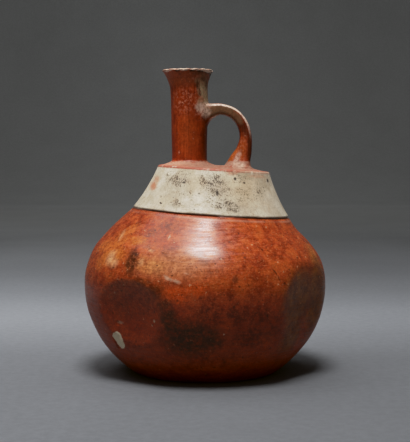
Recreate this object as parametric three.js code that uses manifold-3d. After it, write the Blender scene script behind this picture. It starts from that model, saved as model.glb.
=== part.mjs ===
// A hand-built terracotta bottle: a round body with four broad shallow dimples, a leaning conical
// shoulder closed by a low dome, and on the dome a flared spout joined to a strap handle.
// The clay is one fired piece, hollow from the flat underside to the mouth of the spout.
// Millimetres, +Z up. The origin is the middle of the underside, and the handle lies towards +X.

import * as THREE from "three";
import { mergeVertices } from "three/addons/utils/BufferGeometryUtils.js";
import Module from "manifold-3d";

const wasm = await Module();
wasm.setup();

// Body: a lower and an upper half ellipse that meet at the widest ring.
const bodyRadius = 86.5;
const widestHeight = 63.5;
const lowerDepth = 78;
const upperRise = 59.5;
const footRound = 53; // radius where the rounding into the flat underside begins

// Shoulder: a cone that starts at an incised groove and ends in a closed top.
const grooveRadius = 55.6;
const grooveHeight = 114;
const grooveDepth = 1.1;
const grooveWidth = 1.6;
const topRadius = 40.2;
const topHeight = 145.1;
const shoulderHollow = 1.4; // how far the cone's side dips below a straight line
const edgeRound = 1.4;
const domeRise = 2;

// The maker set the shoulder a little askew: it tips down towards the handle and stands off-centre.
// Below it the body bulges slightly the other way.
const tipAngle = THREE.MathUtils.degToRad(3.8);
const tipStart = 96; // height where the tip begins to show
const bulge = { shift: -1.1, from: 78, to: 94 };
const offset = { shift: 5.4, from: 97, to: 115 };

// Dimples pressed into the body, by their bearing from the front towards +X.
const dimpleBearings = [-38, 55, 148, -131].map(THREE.MathUtils.degToRad);
const dimpleHeight = 50.5;
const dimpleWide = 26; // half of a dimple's width along the body
const dimpleTall = 22;
const dimpleDepth = 5.5;
const dimpleRim = 0.8; // how soft the rim is

// Spout
const spoutX = -11.1;
const spoutRadius = 12.5;
const mouthHeight = 216;
const mouthRadius = 18.3;
const mouthShift = { shift: -1.1, from: 196, to: 216 }; // the mouth stands a little away from the handle
const flareHeight = 14; // from the start of the flare up to the mouth
const boreRadius = 8.7;
const lipThickness = 2.6;
const weldRadius = 20.5; // the ring of clay that welds the spout to the dome
const weldBottom = 144;
const weldTop = 152.5;

// Walls
const bodyWall = 5.5;
const floorThickness = 7;
const topThickness = 5;

// Handle: stations along the strap from the spout to the dome.
// x and z place the middle of the strap, thick is measured across it in the picture plane, wide along Y.
const handleStations = [
  { x: -7.5, z: 186.2, thick: 15, wide: 22 },
  { x: 2.6, z: 186.8, thick: 11.6, wide: 20 },
  { x: 11.5, z: 187.9, thick: 7.8, wide: 15.5 },
  { x: 19.8, z: 185.1, thick: 7.5, wide: 14.5 },
  { x: 26.2, z: 178, thick: 7.7, wide: 14 },
  { x: 28.9, z: 168, thick: 8.2, wide: 14 },
  { x: 27.4, z: 158.5, thick: 10.6, wide: 15 },
  { x: 24.6, z: 151, thick: 14.5, wide: 17.5 },
  { x: 22, z: 143.5, thick: 22, wide: 23 },
];

// How finely the round surfaces are divided.
const outerSegments = 64;
const innerSegments = 32;
const spoutSegments = 32;
const handleSides = 16;
const handleSteps = 26;

// Where the slope of an ellipse's lower half meets the floor, seen from the point at radius r.
function ellipseFoot(radius, depth, centre, r) {
  const below = depth * Math.sqrt(1 - (r / radius) ** 2);
  const slope = ((depth / radius) ** 2 * r) / below;
  const height = centre - below;
  return { height, corner: r - height / slope };
}

// The angle on the upper ellipse from which a straight line just touches it and runs on to the point (r, z).
function tangentAngle(radius, rise, centre, r, z) {
  const across = r / radius;
  const up = (z - centre) / rise;
  return Math.atan2(up, across) - Math.acos(1 / Math.hypot(across, up));
}

// Adds a curve to an outline in equal steps, leaving out a first point that the outline already ends on.
function follow(outline, curve, steps) {
  outline.push(...curve.getPoints(steps).slice(outline.length ? 1 : 0));
}

function line(...rz) {
  return new THREE.LineCurve(new THREE.Vector2(rz[0], rz[1]), new THREE.Vector2(rz[2], rz[3]));
}

function bow(...rz) {
  const points = [0, 2, 4].map((i) => new THREE.Vector2(rz[i], rz[i + 1]));
  return new THREE.QuadraticBezierCurve(...points);
}

// The body and shoulder as one outline from the axis below to the axis above. A wall thickness above 0
// gives the hollow inside instead, which has no groove and is divided more coarsely.
function bodyOutline(wall) {
  const radius = bodyRadius - wall;
  const depth = lowerDepth - wall;
  const rise = upperRise - wall;
  const floor = wall ? floorThickness : 0;
  const neck = grooveRadius - wall;
  const rim = topRadius - wall;
  const top = topHeight - (wall ? topThickness : 0);
  const fine = (outside, inside) => (wall ? inside : outside);

  const round = footRound - wall;
  const foot = ellipseFoot(radius, depth, widestHeight - floor, round);
  const flat = 2 * foot.corner - round;
  const footTop = foot.height + floor;
  const lowest = -Math.acos(round / radius);
  const highest = tangentAngle(radius, rise, widestHeight, neck, grooveHeight);
  const touch = [radius * Math.cos(highest), widestHeight + rise * Math.sin(highest)];
  const below = grooveHeight - grooveWidth / 2;
  const above = grooveHeight + grooveWidth / 2;

  const outline = [];
  follow(outline, line(0, floor, flat, floor), fine(2, 1));
  follow(outline, bow(flat, floor, foot.corner, floor, round, footTop), fine(4, 2));
  follow(outline, new THREE.EllipseCurve(0, widestHeight, radius, depth, lowest, 0), fine(10, 6));
  follow(outline, new THREE.EllipseCurve(0, widestHeight, radius, rise, 0, highest), fine(8, 5));
  follow(outline, line(...touch, neck + 0.4, below), fine(3, 2));
  if (!wall) outline.push(new THREE.Vector2(neck - grooveDepth, grooveHeight));
  outline.push(new THREE.Vector2(neck, above));
  const waist = [(neck + rim) / 2 - 2 * shoulderHollow, (above + top) / 2];
  follow(outline, bow(neck, above, ...waist, rim, top - edgeRound), fine(5, 3));
  follow(outline, bow(rim, top - edgeRound, rim - 0.3, top, rim - edgeRound, top + 0.3), fine(2, 1));
  follow(outline, bow(rim - edgeRound, top + 0.3, rim / 2, top + domeRise, 0, top + domeRise), fine(4, 2));
  return outline;
}

// An outline of radius and height turned round a vertical axis, as one shell of shared points.
function turned(outline, segments) {
  const geometry = new THREE.LatheGeometry(outline, segments);
  geometry.rotateX(Math.PI / 2);
  return shared(geometry);
}

function shared(geometry) {
  geometry.deleteAttribute("normal");
  geometry.deleteAttribute("uv");
  return mergeVertices(geometry, 1e-3);
}

function movePoints(geometry, move) {
  const position = geometry.getAttribute("position");
  const point = new THREE.Vector3();
  for (let i = 0; i < position.count; i++) {
    point.fromBufferAttribute(position, i);
    move(point);
    position.setXYZ(i, point.x, point.y, point.z);
  }
  return geometry;
}

// Presses each dimple towards the body's axis: a shallow bowl whose rim is rounded over.
function pressDimples(point) {
  const around = Math.atan2(point.x, -point.y);
  for (const bearing of dimpleBearings) {
    const turn = Math.atan2(Math.sin(around - bearing), Math.cos(around - bearing));
    const away = Math.hypot((turn * bodyRadius) / dimpleWide, (point.z - dimpleHeight) / dimpleTall);
    const bowl = dimpleDepth * (1 - away ** 2);
    const press = dimpleRim * Math.log(1 + Math.exp(bowl / dimpleRim));
    point.x -= press * Math.sin(around);
    point.y += press * Math.cos(around);
  }
}

function shifted(point, { shift, from, to }) {
  return shift * THREE.MathUtils.smoothstep(point.z, from, to);
}

// Sets the shoulder askew, with all that is above the body's upper half.
function skewShoulder(point) {
  const turn = tipAngle * THREE.MathUtils.smoothstep(point.z, tipStart, grooveHeight);
  const aside = shifted(point, bulge) + shifted(point, offset);
  const up = point.z - grooveHeight;
  const x = point.x * Math.cos(turn) + up * Math.sin(turn) + aside;
  point.z = grooveHeight - point.x * Math.sin(turn) + up * Math.cos(turn);
  point.x = x;
}

function shapeBody(geometry) {
  return movePoints(geometry, (point) => {
    pressDimples(point);
    skewShoulder(point);
  });
}

// The spout's outside: a weld ring on the dome, a tube that widens very slightly, and a trumpet flare.
function spoutOutline() {
  const flare = mouthHeight - flareHeight;
  const flareRadius = spoutRadius + 0.8;
  const lipBottom = mouthHeight - 0.7;
  const outline = [];
  follow(outline, line(0, weldBottom, weldRadius, weldBottom), 1);
  follow(outline, line(weldRadius, weldBottom, weldRadius, weldBottom + 2), 1);
  const fillet = [spoutRadius + 0.8, weldBottom + 3.8];
  follow(outline, bow(weldRadius, weldBottom + 2, ...fillet, spoutRadius, weldTop), 4);
  follow(outline, line(spoutRadius, weldTop, flareRadius, flare), 2);
  const bell = [flareRadius + 0.6, mouthHeight - 0.55 * flareHeight];
  follow(outline, bow(flareRadius, flare, ...bell, mouthRadius, lipBottom), 5);
  outline.push(new THREE.Vector2(mouthRadius - 0.5, mouthHeight));
  outline.push(new THREE.Vector2(0, mouthHeight));
  return outline;
}

// The bore that runs from the hollow up to the mouth, where it flares with the lip.
function boreOutline() {
  const lip = mouthRadius - lipThickness;
  const flare = mouthHeight - flareHeight;
  const start = topHeight - topThickness - 4;
  const past = mouthHeight + 3;
  const outline = [];
  follow(outline, line(0, start, boreRadius, start), 1);
  follow(outline, line(boreRadius, start, boreRadius, flare), 1);
  const bell = [boreRadius + 0.8, mouthHeight - 0.4 * flareHeight];
  follow(outline, bow(boreRadius, flare, ...bell, lip, mouthHeight), 4);
  follow(outline, line(lip, mouthHeight, lip, past), 1);
  outline.push(new THREE.Vector2(0, past));
  return outline;
}

// Something turned about the spout's own axis, with its mouth moved aside.
function onSpout(outline) {
  const geometry = turned(outline, spoutSegments).translate(spoutX, 0, 0);
  return movePoints(geometry, (point) => {
    point.x += shifted(point, mouthShift);
  });
}

// The strap handle: an oval tube bent along a curve through the stations, widening into both welds.
function handleShape() {
  const middle = new THREE.CatmullRomCurve3(
    handleStations.map((s) => new THREE.Vector3(s.x, 0, s.z)),
  );
  const section = new THREE.CatmullRomCurve3(
    handleStations.map((s) => new THREE.Vector3(s.thick / 2, s.wide / 2, 0)),
  );
  const tube = shared(new THREE.CylinderGeometry(1, 1, 1, handleSides, handleSteps));
  return movePoints(tube, (point) => {
    const along = THREE.MathUtils.clamp(point.y + 0.5, 0, 1);
    const centre = middle.getPoint(along);
    const ahead = middle.getTangent(along);
    const size = section.getPoint(along);
    const squareness = 1 + 0.16 * (2 * point.x * point.z) ** 2; // fills the oval out towards a strap
    const out = point.x * size.x * squareness;
    const side = point.z * size.y * squareness;
    point.set(centre.x - ahead.z * out, side, centre.z + ahead.x * out);
  });
}

function solidFrom(geometry) {
  const solid = new wasm.Manifold(
    new wasm.Mesh({
      numProp: 3,
      vertProperties: new Float32Array(geometry.getAttribute("position").array),
      triVerts: new Uint32Array(geometry.index.array),
    }),
  );
  if (solid.volume() > 0) return solid;
  const index = geometry.index.array;
  for (let i = 0; i < index.length; i += 3) {
    [index[i + 1], index[i + 2]] = [index[i + 2], index[i + 1]];
  }
  return solidFrom(geometry);
}

function geometryFrom(solid) {
  const mesh = solid.getMesh();
  const geometry = new THREE.BufferGeometry();
  geometry.setAttribute("position", new THREE.BufferAttribute(mesh.vertProperties, 3));
  geometry.setIndex(new THREE.BufferAttribute(mesh.triVerts, 1));
  geometry.computeVertexNormals();
  return geometry;
}

function bottleSolid() {
  const body = solidFrom(shapeBody(turned(bodyOutline(0), outerSegments)));
  const hollow = solidFrom(shapeBody(turned(bodyOutline(bodyWall), innerSegments)));
  const spout = solidFrom(onSpout(spoutOutline()));
  const bore = solidFrom(onSpout(boreOutline()));
  const handle = solidFrom(handleShape());
  return body.add(spout).add(handle).subtract(hollow).subtract(bore);
}

const terracotta = new THREE.MeshStandardMaterial({
  color: new THREE.Color(0.42, 0.12, 0.045),
  roughness: 0.38,
  metalness: 0,
});

const bottle = new THREE.Mesh(geometryFrom(bottleSolid()), terracotta);
bottle.name = "bottle";

const model = new THREE.Group();
model.add(bottle);

export default model;
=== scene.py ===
# A burnished red bottle with a cream shoulder, a flared spout and a strap handle, on a pale floor.
# Lengths are in millimetres and turn into metres where they enter a mesh, a lamp or the camera.

from math import acos, atan2, cos, exp, hypot, log, pi, radians, sin, sqrt

import bpy
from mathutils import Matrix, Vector, noise


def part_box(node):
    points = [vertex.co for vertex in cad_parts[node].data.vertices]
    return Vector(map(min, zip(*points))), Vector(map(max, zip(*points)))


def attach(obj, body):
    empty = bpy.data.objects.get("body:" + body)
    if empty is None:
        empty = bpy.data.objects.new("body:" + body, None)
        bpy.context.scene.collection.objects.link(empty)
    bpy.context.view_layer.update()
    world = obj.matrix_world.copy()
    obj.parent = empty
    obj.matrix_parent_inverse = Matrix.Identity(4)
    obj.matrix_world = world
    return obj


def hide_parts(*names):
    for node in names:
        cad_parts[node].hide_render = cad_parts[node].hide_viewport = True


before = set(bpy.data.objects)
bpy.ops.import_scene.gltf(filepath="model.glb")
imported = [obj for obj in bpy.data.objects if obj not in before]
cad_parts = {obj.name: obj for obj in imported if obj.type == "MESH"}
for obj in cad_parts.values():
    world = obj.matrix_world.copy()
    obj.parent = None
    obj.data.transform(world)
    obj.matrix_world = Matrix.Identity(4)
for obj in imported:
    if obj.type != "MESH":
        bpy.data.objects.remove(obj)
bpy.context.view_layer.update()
print("frame loaded,", len(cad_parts), "node")
mm = 0.001
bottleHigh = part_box("bottle")[1]

vessel = {
    "bodyRadius": bottleHigh.x / mm,
    "widest": 63.5,  # height of the widest ring
    "lowerDepth": 78,
    "upperRise": 59.5,
    "footRound": 53,
    "neckRadius": 55.6,
    "neckHeight": 114,  # where the incised groove runs
    "rimRadius": 40.2,
    "rimHeight": 145.1,
    "sideHollow": 1.4,
    "edgeRound": 1.4,
    "domeRise": 2,
    "wall": 5.5,
    "floor": 7,
    "topWall": 5,
    "tip": radians(3.8),  # the shoulder leans down towards the handle
    "tipStart": 96,
    "bulge": (-1.1, 78, 94),  # shift towards +X, and the heights between which it comes in
    "offset": (5.4, 97, 115),
    "segments": 208,
}
shoulderMiddle = vessel["bulge"][0] + vessel["offset"][0]  # how far the shoulder stands towards +X

spout = {
    "x": -11.1,
    "radius": 12.5,
    "start": 151.4,  # where the tube comes out of its weld
    "flareRadius": 13.3,
    "flareStart": 202,
    "mouthRadius": 18.3,
    "mouth": bottleHigh.z / mm,
    "lipWide": 2.9,
    "throat": (13.9, 7.7),  # radius and drop below the mouth of the point that the flare bends towards
    "worn": 0.8,  # how far the lip is worn down all round
    "shift": (-1.1, 196, 216),
    "bore": 8.7,
    "weldWidth": 9,
    "smearHeight": 185.5,  # clay of the handle smeared round the tube
    "smearWide": 13,
    "smearTall": 8,
    "smearLift": 1,
}


# Small helpers

def smooth(value, start, end):
    t = min(max((value - start) / (end - start), 0), 1)
    return t * t * (3 - 2 * t)


def mix(a, b, share):
    return a + (b - a) * share


def wrapped(angle):
    return atan2(sin(angle), cos(angle))


def shifted(height, move):
    amount, start, end = move
    return amount * smooth(height, start, end)


def deselectAll():
    bpy.ops.object.select_all(action="DESELECT")


def objectMode():
    bpy.ops.object.mode_set(mode="OBJECT")


def editMode(choice=None):  # SELECT or DESELECT, or none to leave the selection as it was
    bpy.ops.object.mode_set(mode="EDIT")
    if choice:
        bpy.ops.mesh.select_all(action=choice)


def extrude(x, y, z):
    bpy.ops.mesh.extrude_region_move(TRANSFORM_OT_translate={"value": (x, y, z)})


def selectParts(piece, kind, wanted):  # leaves the piece in edit mode with those faces or edges selected
    bpy.context.view_layer.objects.active = piece
    editMode("DESELECT")
    bpy.ops.mesh.select_mode(type=kind)
    objectMode()
    parts = piece.data.polygons if kind == "FACE" else piece.data.edges
    for part in parts:
        part.select = wanted(part)
    editMode()


# Outlines, as points of radius and height

groove = {
    "depth": 1,
    "width": 1.5,
    "shallow": 0.45,  # what is left of the depth where the tool hardly bit
    "bites": [(-68, -54, 1), (3, 10, -1), (19, 27, 1)],  # bearings between which it bit deeper, or less
    "wander": (14, 0.25),  # how long its wavers are, and how far it strays
    "ridge": 0.22,  # clay pushed up along its lower side
}


def straight(a, b, steps):
    return [(mix(a[0], b[0], i / steps), mix(a[1], b[1], i / steps)) for i in range(1, steps + 1)]


def bow(a, pull, b, steps):
    points = []
    for i in range(1, steps + 1):
        t = i / steps
        s = 1 - t
        points.append(tuple(s * s * p + 2 * s * t * q + t * t * r for p, q, r in zip(a, pull, b)))
    return points


def bulging(radius, rise, start, end, steps):
    turns = [mix(start, end, i / steps) for i in range(1, steps + 1)]
    return [(radius * cos(turn), vessel["widest"] + rise * sin(turn)) for turn in turns]


def shellOutline(inset, floor, top, steps):  # from the middle of the underside to the edge of the dome
    radius = vessel["bodyRadius"] - inset
    depth = vessel["lowerDepth"] - inset
    rise = vessel["upperRise"] - inset
    neck = vessel["neckRadius"] - inset
    rim = vessel["rimRadius"] - inset
    footRadius = vessel["footRound"] - inset
    edge = vessel["edgeRound"]
    below = depth * sqrt(1 - (footRadius / radius) ** 2)
    slope = (depth / radius) ** 2 * footRadius / below
    footTop = vessel["widest"] - below
    corner = footRadius - (footTop - floor) / slope
    flat = 2 * corner - footRadius

    across = neck / radius  # a line from the neck just touches the upper bulge
    up = (vessel["neckHeight"] - vessel["widest"]) / rise
    touch = atan2(up, across) - acos(1 / hypot(across, up))
    bulgeEnd = (radius * cos(touch), vessel["widest"] + rise * sin(touch))
    half = groove["width"] / 2
    under = (neck + 0.4, vessel["neckHeight"] - half)
    over = (neck, vessel["neckHeight"] + half)
    waist = ((neck + rim) / 2 - 2 * vessel["sideHollow"], (over[1] + top) / 2)

    points = [(0, floor)]
    points += straight((0, floor), (flat, floor), steps["flat"])
    points += bow((flat, floor), (corner, floor), (footRadius, footTop), steps["foot"])
    points += bulging(radius, depth, -acos(footRadius / radius), 0, steps["lower"])
    points += bulging(radius, rise, 0, touch, steps["upper"])
    points += straight(bulgeEnd, under, steps["line"])
    points += straight(under, over, steps["groove"])
    points += bow(over, waist, (rim, top - edge), steps["side"])
    points += bow((rim, top - edge), (rim - 0.3, top), (rim - edge, top + 0.3), steps["edge"])
    return points


def wholeOutline():
    stretches = ("flat", "foot", "lower", "upper", "line", "groove", "side", "edge")
    outside = dict(zip(stretches, (8, 8, 58, 36, 12, 9, 34, 5)))
    inside = dict(zip(stretches, (4, 3, 12, 8, 2, 1, 6, 1)))
    points = shellOutline(0, 0, vessel["rimHeight"], outside)
    rim, domeTop = points[-1]
    domeSteps = 34
    for i in range(1, domeSteps):  # the dome's rings crowd together where the spout rises from it
        share = (1 - i / domeSteps) ** 2
        points.append((spout["radius"] + (rim - spout["radius"]) * share, domeTop + 1.5 * (1 - share)))
    start = (spout["radius"], spout["start"])
    flare = (spout["flareRadius"], spout["flareStart"])
    mouth = spout["mouth"]
    outer = spout["mouthRadius"]
    inner = outer - spout["lipWide"]
    throat, drop = spout["throat"]
    bore = spout["bore"]
    points.append(start)
    points += straight(start, flare, 42)
    points += bow(flare, (throat, mouth - drop), (outer, mouth - 0.9), 24)
    points += bow((outer, mouth - 0.9), (outer + 0.1, mouth), (outer - 0.9, mouth), 4)
    points += straight((outer - 0.9, mouth), (inner + 0.6, mouth), 2)
    points += bow((inner + 0.6, mouth), (inner, mouth), (inner - 0.4, mouth - 0.7), 3)
    mouthEdge = (inner - 0.4, mouth - 0.7)
    points += bow(mouthEdge, (bore + 0.8, mouth - 5.6), (bore, spout["flareStart"]), 12)
    ceiling = vessel["rimHeight"] - vessel["topWall"]
    points += straight((bore, spout["flareStart"]), (bore, ceiling + 4), 14)
    points += bow((bore, ceiling + 4), (bore, ceiling), (bore + 4, ceiling), 4)
    hollow = shellOutline(vessel["wall"], vessel["floor"], ceiling, inside)
    points += straight(points[-1], hollow[-1], 6)
    points += reversed(hollow[:-1])
    return points


# How the true-running shape was pushed and pressed by hand. All of these work on points in millimetres.

dimples = [  # the first two are in the photograph's view, the other two behind
    {"bearing": -37, "height": 50, "wide": 28, "tall": 23, "depth": 5.8, "crisp": 0.25},
    {"bearing": 55, "height": 53, "wide": 28, "tall": 28, "depth": 5.4, "crisp": 0.4},
    {"bearing": 148, "height": 50, "wide": 26, "tall": 22, "depth": 5.5, "crisp": 0.9},
    {"bearing": -131, "height": 51, "wide": 27, "tall": 22, "depth": 5.2, "crisp": 0.9},
]


def pressDimples(point):
    around = atan2(point.x, -point.y)
    total = 0
    for dimple in dimples:
        turn = wrapped(around - radians(dimple["bearing"])) * vessel["bodyRadius"]
        up = point.z - dimple["height"]
        away = hypot(turn / dimple["wide"], up / dimple["tall"])
        bowl = dimple["depth"] * (1 - away**2)
        rim = dimple["crisp"] * mix(2.2, 1, smooth(up, -dimple["tall"], 0))  # its lower edge is softer
        if bowl > -9 * rim:
            total += rim * log(1 + exp(bowl / rim))
    point.x -= total * sin(around)
    point.y += total * cos(around)


def cutGroove(point, radius):
    bearing = atan2(point.x, -point.y) * 180 / pi
    bite = sum(way * smooth(bearing, start, end) for start, end, way in groove["bites"])
    bite = max(min(bite, 1), groove["shallow"])
    length, strays = groove["wander"]
    wander = strays * noise.noise(Vector((point.x, point.y, 0)) / length)
    up = point.z - vessel["neckHeight"]
    away = (up - wander) / (groove["width"] / 2)
    pressed = groove["depth"] * bite * max(1 - away**2, 0)
    raised = groove["ridge"] * exp(-((up + groove["width"]) ** 2))
    scale = 1 + (raised - pressed) / radius
    point.x *= scale
    point.y *= scale


hand = {
    "lumps": [(38, 0.45), (13, 0.16)],  # how wide they are and how far they stand out
    "strokes": (26, 4.5, 0.05),  # the burnisher's strokes: length, height and depth
    "flatFoot": (0.5, 12),  # the heights between which it all comes in
}


def handUneven(point, radius):
    rough = sum(high * noise.noise(point / wide) for wide, high in hand["lumps"])
    length, tall, deep = hand["strokes"]
    rough += deep * noise.noise(Vector((point.x / length, point.y / length, point.z / tall)))
    rough *= smooth(point.z, *hand["flatFoot"])
    scale = 1 + rough / max(radius, 8)
    point.x *= scale
    point.y *= scale


def lean(point):
    turn = vessel["tip"] * smooth(point.z, vessel["tipStart"], vessel["neckHeight"])
    aside = shifted(point.z, vessel["bulge"]) + shifted(point.z, vessel["offset"])
    up = point.z - vessel["neckHeight"]
    x = point.x * cos(turn) + up * sin(turn) + aside
    point.z = vessel["neckHeight"] - point.x * sin(turn) + up * cos(turn)
    point.x = x


def domeHeight(x, y):  # height of the leaning dome over a place, without the weld
    tip = vessel["tip"]
    up = vessel["rimHeight"] + 1.2 - vessel["neckHeight"]
    across = (x - shoulderMiddle - up * sin(tip)) / cos(tip)
    reach = vessel["rimRadius"] - vessel["edgeRound"]
    share = min(hypot(across, y) / reach, 1)
    height = vessel["rimHeight"] + 0.3 + (vessel["domeRise"] - 0.3) * (1 - share**2)
    foot = strap["stations"][-1]
    smear = 0.9 * (1 - smooth(hypot((x - foot["x"]) / foot["thick"], y / foot["wide"]), 0.45, 0.85))
    return vessel["neckHeight"] - across * sin(tip) + (height - vessel["neckHeight"]) * cos(tip) + smear


def weldShare(away):  # 1 at the spout's wall, 0 where the weld runs out on the dome
    wide = max(1 - away / spout["weldWidth"], 0) ** 1.7
    tight = max(1 - away / 1.4, 0) ** 2
    return 0.72 * wide + 0.28 * tight


def settleTop(point, radius):  # dome, ceiling, spout and bore, which stand round the spout's own axis
    reach = vessel["rimRadius"] - vessel["edgeRound"]
    onDome = vessel["rimHeight"] + 0.2 < point.z < spout["start"] and radius > spout["radius"]
    if onDome:
        share = (reach - radius) / (reach - spout["radius"])
        aside = point.x + spout["x"]
        lean(point)
        point.x = mix(point.x, aside, share)
        away = hypot(point.x - spout["x"], point.y) - spout["radius"]
        ground = domeHeight(point.x, point.y)
        point.z = ground + (spout["start"] - ground) * weldShare(away)
        return
    inReach = reach - vessel["wall"]
    share = 1
    if point.z < spout["start"]:
        share = min(max((inReach - radius) / (inReach - spout["bore"]), 0), 1)
    aside = point.x + spout["x"] + shifted(point.z, spout["shift"])
    height = point.z
    lean(point)
    point.x = mix(point.x, aside, share)
    point.z = mix(point.z, height, share)


nicks = [  # chips along the lip: half width in degrees, reach down the flare, and depth
    {"bearing": -52, "wide": 6, "tall": 1.6, "deep": 0.3},
    {"bearing": -24, "wide": 8, "tall": 2.2, "deep": 0.55},
    {"bearing": -8, "wide": 5, "tall": 1.8, "deep": 0.4},
    {"bearing": 9, "wide": 9, "tall": 2.4, "deep": 0.6},
    {"bearing": 30, "wide": 7, "tall": 2, "deep": 0.5},
    {"bearing": 49, "wide": 6, "tall": 1.7, "deep": 0.35},
    {"bearing": 84, "wide": 15, "tall": 6.5, "deep": 1.3},
    {"bearing": 131, "wide": 8, "tall": 2, "deep": 0.45},
    {"bearing": -163, "wide": 14, "tall": 2.6, "deep": 0.7},
    {"bearing": -104, "wide": 6, "tall": 1.8, "deep": 0.3},
]


def wearLip(point, radius):
    bearing = atan2(point.x, -point.y)
    fromTop = spout["mouth"] - point.z
    outerSide = smooth(radius, spout["mouthRadius"] - 4.5, spout["mouthRadius"] - 1.2)
    top = 1 - smooth(fromTop, 0, 3)
    drop = spout["worn"] + 0.14 * noise.noise(point / 3.1) + 0.16 * noise.noise(point / 8)
    scale = 1 + 0.012 * noise.noise(point / 5)
    for nick in nicks:
        turn = wrapped(bearing - radians(nick["bearing"])) * 180 / pi
        ragged = turn / nick["wide"] + 0.35 * noise.noise(point / 1.7)
        bite = nick["deep"] * max(1 - ragged**2, 0)
        drop += 0.45 * bite
        scale -= bite * outerSide * (1 - smooth(fromTop, 0.5 * nick["tall"], nick["tall"])) / radius
    point.x *= scale
    point.y *= scale
    point.z -= drop * top


def smearRoot(point):  # a low swelling on the tube round the handle's root
    across = point.x - spout["x"]
    around = atan2(point.y, across) * spout["radius"]
    up = point.z - spout["smearHeight"]
    away = hypot(around / spout["smearWide"], up / spout["smearTall"]) + 0.12 * noise.noise(point / 7)
    lift = spout["smearLift"] * (1 - smooth(away, 0.5, 1.15))
    scale = 1 + lift / hypot(across, point.y)
    point.x = spout["x"] + across * scale
    point.y *= scale


def settle(point):
    radius = hypot(point.x, point.y)
    ceiling = vessel["rimHeight"] - vessel["topWall"]
    onTube = point.z > spout["start"] and radius > (spout["radius"] + spout["bore"]) / 2
    onLip = point.z > spout["mouth"] - 8
    onBody = point.z < vessel["neckHeight"] + 0.6
    onShoulder = radius > vessel["rimRadius"] - 12
    nearGroove = abs(point.z - vessel["neckHeight"]) < 5 and radius > vessel["neckRadius"] - 3
    onTop = point.z > ceiling - 0.1 and radius < vessel["rimRadius"] - vessel["edgeRound"]
    if onLip:
        wearLip(point, radius)
    elif onBody:
        pressDimples(point)
        handUneven(point, radius)
    elif onShoulder:
        handUneven(point, radius)
    else:
        wobble = 1 + 0.02 * noise.noise(point / 24) + 0.006 * noise.noise(point / 7)
        point.x *= wobble
        point.y *= wobble
    if nearGroove:
        cutGroove(point, radius)
    if onTop:
        settleTop(point, radius)
    else:
        lean(point)
    if onTube:
        smearRoot(point)
    return point


def moveVertices(piece, move):
    for vertex in piece.data.vertices:
        vertex.co = move(Vector(vertex.co) / mm) * mm
    piece.data.update()


# The shell: an outline drawn point by point and spun round

def makeShell():
    outline = wholeOutline()
    deselectAll()
    bpy.ops.mesh.primitive_plane_add(size=mm)
    shell = bpy.context.object
    shell.name = "spoutBottle"
    editMode()
    bpy.ops.mesh.merge(type="CENTER")
    for (r0, z0), (r1, z1) in zip(outline, outline[1:]):
        extrude((r1 - r0) * mm, 0, (z1 - z0) * mm)
    bpy.ops.mesh.select_all(action="SELECT")
    bpy.ops.mesh.spin(steps=vessel["segments"], angle=2 * pi, center=(0, 0, 0), axis=(0, 0, 1))
    bpy.ops.mesh.select_all(action="SELECT")
    bpy.ops.mesh.remove_doubles(threshold=0.01 * mm)
    bpy.ops.mesh.normals_make_consistent(inside=False)
    objectMode()
    print("shell", len(outline), "outline points,", len(shell.data.vertices), "vertices")
    return shell


finishes = ["body", "shoulder", "top", "inside"]  # the order of the bottle's materials


def zoneOf(face):  # which finish a face of the still true-running shell takes
    centre = face.center / mm
    outwards = Vector((face.center.x, face.center.y, 0))
    if centre.z < vessel["rimHeight"] - 2:
        outwards.z = face.center.z - vessel["widest"] * mm
    if outwards.normalized().dot(face.normal) < -0.2:
        return "inside"
    if centre.z > vessel["rimHeight"] + 0.15:
        return "top"
    return "shoulder" if centre.z > vessel["neckHeight"] else "body"


def paintZones(shell):
    for face in shell.data.polygons:
        face.material_index = finishes.index(zoneOf(face))


# The strap handle: a straight bar, bent through its stations

strap = {
    "sides": 48,
    "steps": 110,
    "square": 4.2,  # 2 is an oval, more is squarer
    "rootRadius": 10.6,  # how far from the spout's axis the strap is buried in its wall
    "footWide": (147, 7),  # the height its foot widens below, and the radius of that fillet
    "footThick": (146, 5),
    "stations": [  # middle of the strap in the picture plane, how thick and how wide it is there
        {"x": -0.5, "z": 185.4, "thick": 12.6, "wide": 15},
        {"x": 4.6, "z": 186.4, "thick": 10.2, "wide": 15},
        {"x": 11.5, "z": 187.3, "thick": 7.9, "wide": 14.5},
        {"x": 19.8, "z": 184.6, "thick": 7.5, "wide": 14.5},
        {"x": 26.2, "z": 177.7, "thick": 7.8, "wide": 14},
        {"x": 29, "z": 168, "thick": 8.5, "wide": 14},
        {"x": 27.8, "z": 158.3, "thick": 11.4, "wide": 15},
        {"x": 25.1, "z": 151, "thick": 15.4, "wide": 17.5},
        {"x": 22.8, "z": 143.2, "thick": 22.4, "wide": 22},
    ],
}


def stationValue(key, along):
    stations = strap["stations"]
    place = min(max(along, 0), 1) * (len(stations) - 1)
    i = min(int(place), len(stations) - 2)
    t = place - i
    values = [s[key] for s in stations]
    before = values[i - 1] if i > 0 else 2 * values[0] - values[1]
    after = values[i + 2] if i + 2 < len(values) else 2 * values[-1] - values[-2]
    a, b = values[i], values[i + 1]
    bend = 2 * before - 5 * a + 4 * b - after
    twist = 3 * (a - b) + after - before
    return a + 0.5 * t * (b - before + t * (bend + t * twist))


def fillet(away, radius):
    if away >= radius:
        return 0
    near = radius - max(away, 0)
    return radius - sqrt(radius * radius - near * near)


def strapPlace(along):  # the middle of the strap and the way it runs
    step = 0.004
    centre = Vector((stationValue("x", along), 0, stationValue("z", along)))
    ahead = Vector((stationValue("x", along + step), 0, stationValue("z", along + step)))
    ahead -= Vector((stationValue("x", along - step), 0, stationValue("z", along - step)))
    return centre, ahead.normalized()


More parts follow.
